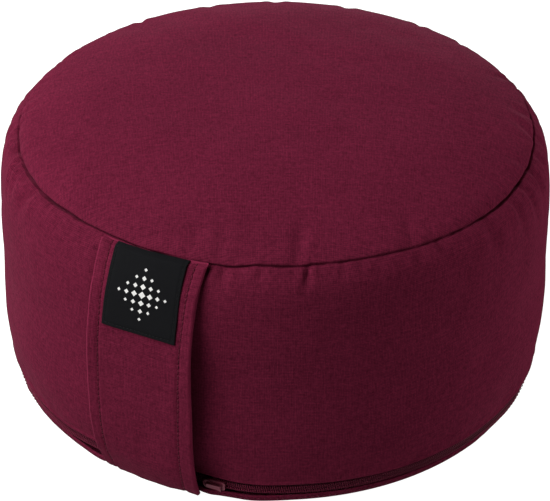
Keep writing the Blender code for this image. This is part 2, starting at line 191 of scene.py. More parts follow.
def smooth(rows, x):
    """The rows' (x, y) pairs, in rising x, joined by a smooth curve and read at each x."""
    at, value = np.array(rows, dtype=float).T
    low = np.maximum(np.arange(len(at)) - 1, 0)
    high = np.minimum(np.arange(len(at)) + 1, len(at) - 1)
    slope = (value[high] - value[low]) / (at[high] - at[low])
    i = np.clip(np.searchsorted(at, x) - 1, 0, len(at) - 2)
    span = at[i + 1] - at[i]
    t = np.clip((x - at[i]) / span, 0.0, 1.0)
    pull = t * (1 - t) ** 2 * slope[i] * span - t * t * (1 - t) * slope[i + 1] * span
    return value[i] + (value[i + 1] - value[i]) * t * t * (3 - 2 * t) + pull


def bell(x, width):
    return np.exp(-(x / width) ** 2)


def ramp(x, low, high):
    t = np.clip((x - low) / (high - low), 0.0, 1.0)
    return t * t * (3 - 2 * t)


def turn_between(angle, other):
    return (angle - other + 180.0) % 360.0 - 180.0


def around(angle, radius, height):
    """Points at these angles, radii and heights round the cushion's axis."""
    a = np.radians(angle)
    return np.stack(np.broadcast_arrays(radius * np.sin(a), -radius * np.cos(a), height), -1)


def distance_along(points):
    """Each point's distance from the first along a line of flat points."""
    steps = np.hypot(*np.diff(points, axis=0).T)
    return np.concatenate([[0.0], np.cumsum(steps)])


def lumps(points, wavelength, count, seed):
    """A smooth irregular field over points in millimetres, about -1 to 1, the same on each run."""
    rng = np.random.default_rng(seed)
    total = np.zeros(points.shape[:-1])
    for _ in range(count):
        direction = rng.normal(size=3)
        direction /= np.linalg.norm(direction)
        number = math.tau / (wavelength * rng.uniform(0.7, 1.6))
        total += np.sin(points @ direction * number + rng.uniform(0, math.tau))
    return total / math.sqrt(count)


# Meshes

def ring_faces(rows, columns, closed=False):
    """Quads between neighbouring rings of points numbered ring by ring."""
    r = np.arange(rows if closed else rows - 1)
    r, c = np.meshgrid(r, np.arange(columns), indexing="ij")
    r2 = (r + 1) % rows
    c2 = (c + 1) % columns
    corners = [r * columns + c, r * columns + c2, r2 * columns + c2, r2 * columns + c]
    return np.stack(corners, -1).reshape(-1, 4)


def end_caps(rows, columns):
    """Triangles that close a turned grid, to two centres numbered after its points."""
    ring = np.arange(columns)
    ahead = (ring + 1) % columns
    end = (rows - 1) * columns
    centre = np.full(columns, rows * columns)
    first = np.stack([centre, ring, ahead], -1)
    last = np.stack([centre + 1, end + ahead, end + ring], -1)
    return np.concatenate([first, last])


def turn_of(quads, angles):
    """Each corner's angle in radians from the back, so that the weave's ends meet at the handle."""
    step = quads % len(angles)
    closing = (step == 0) & (step.max(1) == len(angles) - 1)[:, None]
    return np.radians(np.where(closing, 360.0, angles[step]) - 180.0)


def add_object(name, data):
    thing = bpy.data.objects.new(name, data)
    bpy.context.scene.collection.objects.link(thing)
    return thing


def new_piece(name, points, faces, material, weave=None):
    """A mesh object from points in millimetres and lists of faces, and its weave map in metres."""
    mesh = bpy.data.meshes.new(name)
    corners = (np.asarray(points).reshape(-1, 3) * MM).tolist()
    mesh.from_pydata(corners, [], [list(map(int, face)) for face in faces])
    mesh.materials.append(material)
    mesh.shade_smooth()
    if weave is not None:
        layer = mesh.uv_layers.new(name="weave")
        layer.uv.foreach_set("vector", np.asarray(weave, dtype=np.float32).ravel())
    return add_object(name, mesh)


def joined_piece(name, parts, material):
    """Several (points, faces) pairs as one mesh object."""
    points, faces, base = [], [], 0
    for part_points, part_faces in parts:
        points.append(part_points)
        faces += [[int(i) + base for i in face] for face in part_faces]
        base += len(part_points)
    return new_piece(name, np.concatenate(points), faces, material)


def stand_for(piece, slot, *nodes):
    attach(piece, "root")
    if nodes:
        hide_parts(*nodes)


# Materials

def tinted(base, factor):
    return (*[c * factor for c in base], 1.0)


class Surface:
    """A Principled material whose nodes are added by function calls."""

    def __init__(self, name, roughness, **sockets):
        self.material = bpy.data.materials.new(name)
        self.material.use_nodes = True
        self.tree = self.material.node_tree
        self.shader = self.tree.nodes["Principled BSDF"]
        self.shader.inputs["Roughness"].default_value = roughness
        for socket, value in sockets.items():
            self.shader.inputs[socket.replace("_", " ")].default_value = value

    def put(self, socket, value):
        if isinstance(value, bpy.types.NodeSocket):
            self.tree.links.new(value, socket)
        else:
            socket.default_value = value

    def node(self, kind, inputs=(), out=0, **settings):
        node = self.tree.nodes.new("ShaderNode" + kind)
        for setting, value in settings.items():
            setattr(node, setting, value)
        for where, value in dict(inputs).items():
            self.put(node.inputs[where], value)
        return node.outputs[out]

    def math(self, operation, *values):
        return self.node("Math", enumerate(values), operation=operation)

    def noise(self, vector, scale, detail=2.0, roughness=0.5):
        inputs = {"Vector": vector, "Scale": scale, "Detail": detail, "Roughness": roughness}
        return self.node("TexNoise", inputs)

    def map_range(self, value, from_low, from_high, to_low, to_high):
        return self.node("MapRange", enumerate((value, from_low, from_high, to_low, to_high)))

    def mix(self, share, first, second):
        return self.node("Mix", {0: share, 6: first, 7: second}, out=2, data_type="RGBA")

    def tones(self, share, base, dark, pale):
        """The base colour times dark to pale, by share."""
        return self.mix(share, tinted(base, dark), tinted(base, pale))

    def stretched(self, u, v, u_size, v_size, layer):
        """Noise whose spots are this wide along each direction of the weave."""
        where = {0: self.math("DIVIDE", u, u_size), 1: self.math("DIVIDE", v, v_size), 2: layer}
        return self.noise(self.node("CombineXYZ", where), 1.0, 1.0)

    def needle_holes(self, u, v, colour, start, drift, pitch):
        """Paints shade into the needle's holes, a pitch apart along a line that starts here and
        drifts.
        """
        off = self.math("SUBTRACT", u, self.math("MULTIPLY_ADD", v, drift, start))
        lean = self.math("MULTIPLY", off, HOLE_LEAN)
        along = self.math("ADD", self.math("DIVIDE", v, pitch), lean)
        step = self.math("ABSOLUTE", self.math("SUBTRACT", self.math("FRACT", along), 0.5))
        along = self.math("DIVIDE", self.math("SUBTRACT", 0.5, step), HOLE_LENGTH)
        across = self.math("DIVIDE", off, HOLE_WIDTH)
        far = self.math("ADD", self.math("POWER", across, 2.0), self.math("POWER", along, 2.0))
        shade = self.map_range(far, *HOLE_EDGE, HOLE_SHADE, 0.0)
        return self.mix(shade, colour, HOLE_SHADOW_COLOUR)

    def place(self):
        return self.node("TexCoord", out="Object")

    def weave_map(self):
        return self.node("UVMap", uv_map="weave")

    def finish(self, colour, height=None, strength=0.3, distance=0.0003):
        self.put(self.shader.inputs["Base Color"], colour)
        if height is not None:
            inputs = {"Height": height, "Strength": strength, "Distance": distance}
            self.put(self.shader.inputs["Normal"], self.node("Bump", inputs))
        return self.material


# The shaders' own lengths are in metres.  Threads wander over this scale, and their tone changes
# from thread to thread, and slowly along each.
WANDER_SCALE = 140.0
TONE_SCALE = 0.93
TONE_ALONG = 0.06
WEFT_LAYER = 7.0


def plain_weave(s, warp, weft, wander):
    """Height of a plain weave with these thread pitches, and each thread's own tone from 0 to 1."""
    where = s.weave_map()
    drift = s.node("TexNoise", {"Vector": where, "Scale": WANDER_SCALE, "Detail": 2.0}, out=1)
    drift = s.node("VectorMath", {0: drift, 1: (0.5, 0.5, 0.5)}, operation="SUBTRACT")
    drift = s.node("VectorMath", {0: drift, "Scale": wander}, operation="SCALE")
    where = s.node("VectorMath", {0: where, 1: drift}, operation="ADD")
    parts = s.node("SeparateXYZ", {0: where}).node
    u = s.math("DIVIDE", parts.outputs[0], warp)
    v = s.math("DIVIDE", parts.outputs[1], weft)
    across = s.math("SINE", s.math("MULTIPLY", u, math.pi))
    along = s.math("SINE", s.math("MULTIPLY", v, math.pi))
    over = s.math("MULTIPLY_ADD", s.math("MULTIPLY", across, along), 0.5, 0.5)
    under = s.math("SUBTRACT", 1.0, over)
    warp_height = s.math("MULTIPLY", s.math("ABSOLUTE", across), over)
    weft_height = s.math("MULTIPLY", s.math("ABSOLUTE", along), under)
    height = s.math("MAXIMUM", warp_height, weft_height)
    warp_on_top = s.math("GREATER_THAN", warp_height, weft_height)
    warp_number = s.math("FLOOR", u)
    weft_number = s.math("FLOOR", v)
    warp_along = s.math("MULTIPLY", v, TONE_ALONG)
    weft_along = s.math("MULTIPLY", u, TONE_ALONG)
    warp_place = s.node("CombineXYZ", {0: warp_number, 1: warp_along})
    weft_place = s.node("CombineXYZ", {0: weft_along, 1: weft_number, 2: WEFT_LAYER})
    warp_tone = s.noise(warp_place, TONE_SCALE, 1.0)
    weft_tone = s.noise(weft_place, TONE_SCALE, 1.0)
    tone = s.node("Mix", {0: warp_on_top, 2: weft_tone, 3: warp_tone})
    return height, tone


# The canvas: its threads' pitch and wander, and how wide and long its slubs are, with their layer.
CANVAS_RED = (0.0865, 0.0084, 0.0222)
CANVAS_SHEEN = (1.0, 0.45, 0.58, 1.0)
CANVAS_WARP = 0.00092
CANVAS_WEFT = 0.00104
CANVAS_WANDER = 0.0009
WARP_SLUB = (0.0010, 0.0042, 3.0)
WEFT_SLUB = (0.0046, 0.0011, 9.0)
SLUB_RELIEF = 1.1
# How far in the strap's folded edges are painted paler as a highlight, how much, and how pale at
# most.
EDGE_HIGHLIGHT_WIDTH = 1.5
EDGE_HIGHLIGHT_SHARE = 0.6
EDGE_HIGHLIGHT_TONE = 1.9
# The strap's lines of stitches: place across at the top, and how it drifts on the way down.
STRAP_SEAMS = [(-25.25, 0.0), (26.3, -0.02)]
STITCH_PITCH = 3.25
STITCH_LENGTH = 2.5
# The needle's holes, with painted shade in them: half width, half length and lean in pitches, soft
# edge, and darkness.
HOLE_WIDTH = 0.0006
HOLE_LENGTH = 0.2
HOLE_LEAN = 250.0
HOLE_EDGE = (0.2, 1.3)
HOLE_SHADE = 0.6
HOLE_SHADOW_COLOUR = (0.014, 0.0014, 0.0036, 1.0)


def canvas(name, base, holes=(), fold=None):
    s = Surface(name, 0.92, Sheen_Weight=0.055, Sheen_Roughness=0.3, Sheen_Tint=CANVAS_SHEEN,
                Specular_IOR_Level=0.0)
    height, tone = plain_weave(s, CANVAS_WARP, CANVAS_WEFT, CANVAS_WANDER)
    place = s.place()
    parts = s.node("SeparateXYZ", {0: s.weave_map()}).node
    u, v = parts.outputs[0], parts.outputs[1]
    # Thick and thin places run along the yarns of either direction.
    slub_warp = s.stretched(u, v, *WARP_SLUB)
    slub_weft = s.stretched(u, v, *WEFT_SLUB)
    # These fields set the colour. The weave's height darkens the low places between threads as
    # painted shade; the others are the cloth's own tone.
    fields = [  # field, weight, its own mean
        (height, 0.55, 0.45), (tone, 0.60, 0.5), (slub_warp, 0.55, 0.5), (slub_weft, 0.50, 0.5),
        (s.noise(place, 620.0, 2.0), 0.75, 0.5), (s.noise(place, 26.0, 3.0), 0.22, 0.5),
        (s.noise(place, 1500.0, 2.0, 0.6), 0.55, 0.5),
    ]
    share = 0.5
    for field, weight, mean in fields:
        share = s.math("ADD", share, s.math("MULTIPLY_ADD", field, weight, -weight * mean))
    colour = s.tones(share, base, 0.5, 1.5)
    slubs = s.math("MULTIPLY", s.math("ADD", slub_warp, slub_weft), SLUB_RELIEF)
    relief = s.math("ADD", height, slubs)
    if fold:
        # Painted highlight: the cloth is made paler along its folded edges, where they catch the
        # light.
        out = s.math("ABSOLUTE", u)
        edge_highlight = s.map_range(out, (fold - EDGE_HIGHLIGHT_WIDTH) * MM, fold * MM, 0.0, EDGE_HIGHLIGHT_SHARE)
        colour = s.mix(edge_highlight, colour, tinted(base, EDGE_HIGHLIGHT_TONE))
    # Painted shade in the needle's holes along each line of stitches.
    for start, drift in holes:
        colour = s.needle_holes(u, v, colour, start * MM, drift, STITCH_PITCH * MM)
    return s.finish(colour, relief, 0.5, 0.00028)


CANVAS = canvas("canvas", CANVAS_RED)
STRAP_CANVAS = canvas("strap_canvas", CANVAS_RED, STRAP_SEAMS, HANDLE_HALF_WIDTH)


def thread_material(name, base):
    s = Surface(name, 0.6, Sheen_Weight=0.01, Specular_IOR_Level=0.1)
    twist = s.noise(s.place(), 2600.0, 1.0)
    return s.finish(s.tones(twist, base, 0.7, 1.25), twist, 0.3, 0.0001)


THREAD = thread_material("sewing_thread", (0.082, 0.0075, 0.020))
DARK_THREAD = thread_material("dark_thread", (0.004, 0.0045, 0.0047))


# Cushion body

def body_rows():
    """Each row's radius, height, side of the seam and cloth distance from it."""
    top = []
    for i in range(1, TOP_ROWS + 1):
        share = math.sin(i / TOP_ROWS * math.pi / 2)
        rise = CROWN_RISE * max(1 - share ** CROWN_FULLNESS, 0.0) ** CROWN_ROLL
        top.append((SEAM_RADIUS * share, SEAM_HEIGHT + rise))
    band = []
    for i in range(1, BAND_ROWS + 1):
        share = (1 - math.cos(i / BAND_ROWS * math.pi)) / 2
        band.append((float(smooth(BAND, share)), SEAM_HEIGHT + (HEM_HEIGHT - SEAM_HEIGHT) * share))
    under = [
        (162.3, 15.5), (161.9, 15.25), (161.2, 15.2), (159.8, 15.25), (CORE_RADIUS, 15.2),
        (CORE_RADIUS, 10.0), (CORE_RADIUS, 7.0), (155.6, 5.4), (154.2, 4.2), (150.8, CORE_FLOOR),
        (110.0, CORE_FLOOR), (60.0, CORE_FLOOR), (15.0, CORE_FLOOR),
    ]
    points = np.array(top + band + under)
    side = np.repeat([TOP_SIDE, BAND_SIDE, UNDER_SIDE], [len(top), len(band), len(under)])
    run = distance_along(points)
    return points[:, 0], points[:, 1], side, run - run[len(top) - 1]


def fold_depth(folds, angle, distance, radius):
    """How far the cloth lies below its smooth surface, from a list of folds."""
    depth = np.zeros(np.broadcast(angle, distance).shape)
    for fold in folds:
        share = np.clip(distance / (fold.peak + fold.reach), 0, 1)
        line = fold.start + (fold.end - fold.start) * share
        across = np.radians(turn_between(angle, line)) * radius
        width = fold.width * (0.75 + 0.6 * share)
        valley = bell(across, width) - 0.38 * bell(np.abs(across) - 2.0 * width, 0.9 * width)
        before = 0.45 + 0.55 * ramp(distance, 0.0, fold.peak)
        after = bell(np.maximum(distance - fold.peak, 0.0), fold.reach * 0.6)
        depth += fold.depth * valley * before * after
    return depth


def small_folds(count, seed, depth, width, reach):
    rng = np.random.default_rng(seed)
    folds = []
    for i in range(count):
        angle = (i + rng.uniform(-0.4, 0.4)) * 360 / count
        size = rng.uniform(0.25, 1.0)
        end = angle + rng.uniform(-1.2, 1.2)
        wide = width * rng.uniform(0.6, 1.2)
        far = reach * (0.5 + 0.5 * size)
        folds.append(Fold(angle, end, wide, depth * size, reach * 0.25, far))
    return folds


def near_handle(angle, half_angle):
    """1 behind the handle's middle, falling to 0 from about this half angle on."""
    return bell(turn_between(angle, 0.0) ** 2, half_angle ** 2)


def handle_press(angle):
    """How far the handle draws the cushion in at this angle, where it is sewn down."""
    return PRESS_DEPTH * near_handle(angle, PRESS_HALF_ANGLE)


def hem_press(angle):
    """The same at the hem and the zip, where the cloth is drawn in further over less width."""
    share = ramp(turn_between(angle, 0.0), *HEM_PRESS_ANGLES)
    depth = PRESS_DEPTH + HEM_PRESS_MORE * share
    return depth * near_handle(angle, PRESS_HALF_ANGLE - HEM_PRESS_NARROWER * share)


def base_swell(angle):
    """How far the base's edge stands out beside the handle, and in under it."""
    return smooth(BASE_SWELL, turn_between(angle, SWELL_MIDDLE) + SWELL_MIDDLE)


def seam_waves(angle):
    """How far the top seam lies below its level: as in the photo, and at random round the back."""
    at, drop = np.array(SEAM_WAVES, dtype=float).T
    off = turn_between(angle, SHOWN_MIDDLE)
    shown = np.interp(off, at - SHOWN_MIDDLE, drop, left=0.0, right=0.0)
    a = np.radians(angle)
    ring = np.stack([np.sin(a), np.cos(a), 0 * a], -1) * SEAM_RADIUS
    return np.where(np.abs(off) > SHOWN_HALF, 0.5 * lumps(ring, 22.0, 8, 31), shown)


def dent(x, depth, at, width):
    """A smooth groove of this depth and width, or a swelling where it is taken away."""
    return depth * bell(x - at, width)


def crease_depth(angle, from_seam, points):
    """How far the top seam's two layers are drawn in to a narrow crease."""
    crease = sum(depth * bell(from_seam, width) for depth, width in CREASE)
    crease = crease * (1 + CREASE_UNEVEN * lumps(points, 9.0, 6, 21))
    share = 1.0
    for at, width, change in CREASE_CHANGES:
        share = share + change * bell(turn_between(angle, at), width)
    return crease * share


def make_cushion():
    radius, height, side, run = body_rows()
    angles = np.arange(AROUND) * 360.0 / AROUND
    angle = angles[None, :]
    ring = radius[:, None]
    points = around(angle, ring, height[:, None])
    slope = np.stack([np.gradient(radius), np.gradient(height)], -1)
    slope /= np.linalg.norm(slope, axis=1)[:, None]
    normal = around(angle, -slope[:, 1:], slope[:, :1])
    from_seam = np.abs(run)[:, None]
    is_top = (side == TOP_SIDE)[:, None]
    is_band = (side == BAND_SIDE)[:, None]
    top_folds = TOP_FOLDS + small_folds(64, seed=11, depth=0.35, width=2.2, reach=8.0)
    band_folds = BAND_FOLDS + small_folds(96, seed=5, depth=0.55, width=1.7, reach=8.0)
    depth = np.where(is_top, fold_depth(top_folds, angle, from_seam, ring), 0.0)
    depth = depth + np.where(is_band, fold_depth(band_folds, angle, from_seam, ring), 0.0)
    # The handle fills the crease where it is caught in it.
    crease = crease_depth(angle, from_seam, points)
    filled = near_handle(angle, FILLED_HALF_ANGLE)
    depth += np.where(is_top, crease * (1 - FILLED_ABOVE * filled), 0.0)
    depth += np.where(is_band, crease * (1 - FILLED_BELOW * filled), 0.0)
    # The filling's soft unevenness, and small waves where the hem is sewn.
    soft = 0.30 * lumps(points, 46.0, 14, 3) + 0.12 * lumps(points, 18.0, 12, 4)
    keep = ramp(from_seam, 2.0, 24.0)
    depth += np.where(is_top | is_band, soft * keep, 0.0)
    up = height[:, None] - HEM_HEIGHT
    hem = bell(up, 9.0) * 0.30 * lumps(points, 11.0, 10, 9) * ramp(up, 0.0, 3.0)
    depth += np.where(is_band, hem - dent(up, *HEM_EDGE) + dent(up, *HEM_GROOVE), 0.0)
    # The handle's left edge presses a shallow groove into the band beside it.
    beside = bell(points[..., 0] + HANDLE_HALF_WIDTH + BESIDE_OUT, BESIDE_WIDTH)
    beside = beside * (points[..., 1] < 0)
    groove = BESIDE_DEPTH * beside * ramp(from_seam, *BESIDE_START)
    depth += np.where(is_band, groove, 0.0)
    points = points - normal * depth[..., None]
    # The handle draws the band in where it is sewn down, and with it all that lies below the hem.
    press = handle_press(angle) * bell(SEAM_HEIGHT - height[:, None], PRESS_REACH)
    press = press + hem_press(angle) * bell(np.maximum(up, 0.0), PRESS_REACH)
    press = np.where(~is_top & (ring > BASE_RADIUS / 2), press, 0.0)
    points[..., :2] *= (1 - press / ring)[..., None]
    waves = seam_waves(angles) * bell(from_seam, WAVE_REACH)
    points[..., 2] -= np.where(is_top | is_band, waves, 0.0)
    # The middles of the crown and of the underside.
    flat = points.reshape(-1, 3)
    flat = np.concatenate([flat, [[0, 0, flat[:AROUND, 2].mean()], [0, 0, CORE_FLOOR]]])
    quads = ring_faces(len(radius), AROUND)[:, ::-1]
    caps = end_caps(len(radius), AROUND)
    # The weave lies straight across the top panel, and round the band.
    grain = math.radians(TOP_GRAIN)
    grain = np.array([[math.cos(grain), -math.sin(grain)], [math.sin(grain), math.cos(grain)]])
    row = quads // AROUND
    on_top = (side[row].min(1) == TOP_SIDE)[:, None, None]
    top_weave = flat[quads][..., :2] @ grain * MM
    band_weave = np.stack([turn_of(quads, angles) * BAND_WEAVE_RADIUS, -run[row] * MM], -1)
    weave = np.where(on_top, top_weave, band_weave).reshape(-1, 2)
    cap_weave = flat[caps][..., :2] @ grain * MM
    weave = np.concatenate([weave, cap_weave.reshape(-1, 2)])
    return new_piece("cushion_cover", flat, [*quads, *caps], CANVAS, weave)


# Turned pieces: base panel, zip tape

def turned_piece(name, profile, segments, material, shift, closed=False):
    """A closed shape turned round Z from (radius, height) rows; shift moves points along radius."""
    profile = np.array(profile, dtype=float)
    angles = np.arange(segments) * 360.0 / segments
    radius = np.broadcast_to(profile[:, :1], (len(profile), segments)).copy()
    height = np.broadcast_to(profile[:, 1:], (len(profile), segments)).copy()
    shift(radius, height, angles)
    flat = around(angles, radius, height).reshape(-1, 3)
    quads = ring_faces(len(profile), segments, closed)[:, ::-1]
    faces = [*quads]
    row = quads // segments
    round_it = turn_of(quads, angles) * profile[:, 0].max()
    weave = np.stack([round_it, distance_along(profile)[row]], -1) * MM
    if not closed:
        flat = np.concatenate([flat, [[0, 0, profile[0, 1]], [0, 0, profile[-1, 1]]]])
        caps = end_caps(len(profile), segments)
        faces += [*caps]
        # A flat disc keeps a straight weave.
        on_disc = (profile[row][..., 0].max(1) <= BASE_RADIUS)[:, None, None]
        weave = np.where(on_disc, flat[quads][..., :2] * MM, weave).reshape(-1, 2)
        weave = np.concatenate([weave, (flat[caps][..., :2] * MM).reshape(-1, 2)])
    return new_piece(name, flat, faces, material, weave.reshape(-1, 2))


# The base's edge: steps of its curve, the height of its fold, its inner curve, and the radius from
# which it shows.  Then its stitches: number, height, radius and half thickness.
BASE_SEGMENTS = 480
RIM_STEPS = 12
RIM_FOLD = 0.7
BASE_INNER_RADIUS = 151.2
BASE_INNER_REACH = 7.2
BASE_INNER_FLOOR = 2.2
BASE_INNER_RISE = 3.7
RIM_OUTSIDE = 158.9
BASE_STITCHES = 300
BASE_STITCH_HEIGHT = 4.9
BASE_STITCH_RADIUS = 159.75
BASE_STITCH_HALF = 0.22


def quarter(start, reach, floor, rise, steps):
    """Points of a quarter round that runs out from start and up from the floor."""
    turns = [i / RIM_STEPS * math.pi / 2 for i in steps]
    return [(start + reach * math.sin(t), floor + rise * (1 - math.cos(t))) for t in turns]


def make_base():
    """The flat disc and its edge, turned up to the zip and folded over, grooved at its stitches."""
    profile = [(r, 0.0) for r in (20.0, 60.0, 100.0, 130.0, 145.0, 150.0, BASE_RADIUS)]
    profile += quarter(BASE_RADIUS, RIM_RADIUS - BASE_RADIUS, 0.0, RIM_HEIGHT - RIM_FOLD,
                       range(1, RIM_STEPS + 1))
    profile += [
        (159.65, 6.3), (159.35, 6.55), (159.0, 6.6), (158.7, 6.45), (158.5, 6.1), (158.4, 5.6),
    ]
    profile += quarter(BASE_INNER_RADIUS, BASE_INNER_REACH, BASE_INNER_FLOOR, BASE_INNER_RISE,
                       range(RIM_STEPS - 1, -1, -2))
    profile += [(r, BASE_INNER_FLOOR) for r in (146.0, 110.0, 60.0, 20.0)]

    def shift(radius, height, angles):
        outside = radius > RIM_OUTSIDE
        wave = lumps(around(angles, radius, height), 13.0, 10, 41)
        radius += base_swell(angles)[None, :] * ramp(radius, 120.0, 156.0)
        radius += 0.2 * wave * ramp(height, 1.0, 4.0) * outside
        radius -= dent(height, 0.3, BASE_STITCH_HEIGHT, 0.6) * outside

    return turned_piece("base_cloth", profile[::-1], BASE_SEGMENTS, CANVAS, shift)


def make_base_stitches():
    """The stitches that hold the folded edge of the base."""
    pitch = 360.0 / BASE_STITCHES
    parts = []
    for i in range(BASE_STITCHES):
        angle = i * pitch + np.linspace(-0.27, 0.27, 4) * pitch
        radius = BASE_STITCH_RADIUS + np.array([-0.3, 0.1, 0.1, -0.3]) + base_swell(angle)
        parts.append(tube(around(angle, radius, BASE_STITCH_HEIGHT), BASE_STITCH_HALF, 5))
    return joined_piece("base_stitches", parts, THREAD)


TAPE_SEGMENTS = 360
TAPE_HALF_THICKNESS = 0.4


def zip_tape_material():
    s = Surface("zip_tape", 0.85, Sheen_Weight=0.08, Specular_IOR_Level=0.25)
    height, tone = plain_weave(s, 0.0005, 0.00042, 0.0002)
    # The weave's height darkens the low places between threads as painted shade, mixed with the
    # threads' own tone.
    share = s.math("ADD", s.math("MULTIPLY", height, 0.6), s.math("MULTIPLY", tone, 0.4))
    return s.finish(s.tones(share, (0.047, 0.0042, 0.0115), 0.6, 1.3), height, 0.3, 0.0001)


def make_tape():
    inside, outside = TAPE_RADIUS - TAPE_HALF_THICKNESS, TAPE_RADIUS + TAPE_HALF_THICKNESS
    profile = [(inside, TAPE_FLOOR + 0.1), (TAPE_RADIUS, TAPE_FLOOR), (outside, TAPE_FLOOR + 0.2)]
    profile += [(outside, h) for h in (7.0, 8.3, 9.6, 10.9, 12.2, 13.5)]
    profile += [(outside, TAPE_TOP - 0.2), (TAPE_RADIUS, TAPE_TOP), (inside, TAPE_TOP - 0.1)]
    profile += [(inside, COIL_LEVEL)]

    def shift(radius, height, angles):
        radius -= hem_press(angles)[None, :]

    return turned_piece("zip_tape_cloth", profile[::-1], TAPE_SEGMENTS, zip_tape_material(), shift,
                        closed=True)


# Zip coil: two rows of interlocking nylon loops and the thread that sews each row to the tape

def tube_points(path, radius, sides):
    """Points of a tube of rings along a path, shaped (len(path), sides, 3)."""
    tangent = np.gradient(path, axis=0)
    tangent /= np.linalg.norm(tangent, axis=1)[:, None]
    up = np.array([0.0, 0.0, 1.0])
    if abs(tangent[len(path) // 2] @ up) > 0.9:
        up = np.array([0.0, 1.0, 0.0])
    across = np.cross(up, tangent)
    across /= np.linalg.norm(across, axis=1)[:, None]
    other = np.cross(tangent, across)
    turn = np.arange(sides) / sides * math.tau
    size = radius * np.ones(len(path))
    ring = (np.cos(turn)[None, :, None] * across[:, None, :]
            + np.sin(turn)[None, :, None] * other[:, None, :])
    return path[:, None, :] + ring * size[:, None, None]


def tube(path, radius, sides):
    """Points and faces of a tube along a path, closed at both ends."""
    count = len(path)
    first = range(sides - 1, -1, -1)
    last = range((count - 1) * sides, count * sides)
    points = tube_points(path, radius, sides).reshape(-1, 3)
    return points, [*ring_faces(count, sides), first, last]


def round_zip(along, out, up):
    """Points by the zip: along in degrees, out and up in millimetres from the coil's middle."""
    return around(along, COIL_RADIUS + out - hem_press(along), COIL_LEVEL + up)


# The coil's loops: their number, and at four points from the tape to the head how far they stand
# out and up, lean (in pitches) and are thick.
COIL_TEETH = 778
LOOP_OUT = np.array([-1.0, 0.25, 0.70, 0.30])
LOOP_UP = np.array([2.10, 2.20, 1.10, 0.10])
LOOP_LEAN = np.array([-0.20, -0.12, 0.05, 0.15])
LOOP_SIZE = np.array([0.32, 0.36, 0.37, 0.38])
COIL_THREAD_RADIUS = 0.27


def coil_material():
    s = Surface("zip_nylon", 0.5, Specular_IOR_Level=0.12)
    place = s.place()
    colour = s.tones(s.noise(place, 420.0, 1.0), (0.130, 0.0110, 0.0320), 0.75, 1.3)
    return s.finish(colour, s.noise(place, 3000.0, 1.0), 0.15, 0.00005)


def make_coil():
    """Each loop rises from the tape, runs out to the zip's middle and ends in a rounded head."""
    pitch = 360.0 / COIL_TEETH
    parts = []
    for i in range(COIL_TEETH):
        for lean, up in ((LOOP_LEAN, LOOP_UP), (0.5 - LOOP_LEAN, -LOOP_UP)):
            parts.append(tube(round_zip(i * pitch + lean * pitch, LOOP_OUT, up), LOOP_SIZE, 5))
    return joined_piece("zip_coil_loops", parts, coil_material())


def make_coil_stitches():
    """The sewing thread over each row of loops, dipping between them."""
    steps = COIL_TEETH * 4
    angle = np.arange(steps) / steps * 360.0
    parts = []
    for sign, phase in ((1, 0.0), (-1, math.pi)):
        wave = np.cos(np.arange(steps) / 4 * math.tau + phase)
        path = round_zip(angle, 0.95 + 0.12 * wave, sign * (1.15 + 0.05 * wave))
        rings = tube_points(np.concatenate([path, path[:1]]), COIL_THREAD_RADIUS, 4)[:-1]
        parts.append((rings.reshape(-1, 3), ring_faces(steps, 4, closed=True)))
    return joined_piece("zip_coil_stitches", parts, THREAD)


# Handle and label

STRAP_ROWS = np.array(STRAP)
STRAP_RUN = distance_along(STRAP_ROWS[:, :2])
STRAP_LENGTH = float(STRAP_RUN[-1])
SLOPE_STEP = 0.5
EDGE_STEPS = 4
INNER_COLUMNS = 16


def strap_column(column, distance):
    return smooth(np.stack([STRAP_RUN, STRAP_ROWS[:, column]], -1), distance)


def strap_surface(across, distance, lift):
    """Points on the strap at these places across and along it, lifted off its middle surface."""
    across, distance, lift = np.broadcast_arrays(across, distance, lift)
    height, reach, bow, lean = [strap_column(column, distance) for column in range(4)]
    ahead = np.minimum(distance + SLOPE_STEP, STRAP_LENGTH)
    behind = np.maximum(distance - SLOPE_STEP, 0.0)
    run = np.stack([strap_column(1, ahead) - strap_column(1, behind),
                    strap_column(0, ahead) - strap_column(0, behind)], -1)
    run /= np.linalg.norm(run, axis=-1)[..., None]
    share = across / HANDLE_HALF_WIDTH
    right = np.maximum(share, 0.0)
    curl = smooth(STRAP_CURL, STRAP_LENGTH - distance) * right ** 2
    reach = reach - bow * share ** 2 - lean * share + curl
    x = across - smooth(STRAP_TAPER, STRAP_LENGTH - distance) * right - curl / 2
    return np.stack([x, -(reach - run[..., 1] * lift), height + run[..., 0] * lift], -1)


def strip_section(half_width, thickness, fine):
    """(across, side) of points round a strip: outer face left to right, edge, inner face, edge."""
    radius = thickness / 2
    flat = half_width - radius

    def edge(middle, first_turn):
        turns = [first_turn - i / EDGE_STEPS * math.pi for i in range(1, EDGE_STEPS)]
        return [(middle + radius * math.cos(t), radius * math.sin(t)) for t in turns]

    outer = [(a, radius) for a in fine if abs(a) <= flat]
    inner = [(a, -radius) for a in np.linspace(flat, -flat, INNER_COLUMNS)]
    return np.array(outer + edge(flat, math.pi / 2) + inner + edge(-flat, -math.pi / 2))


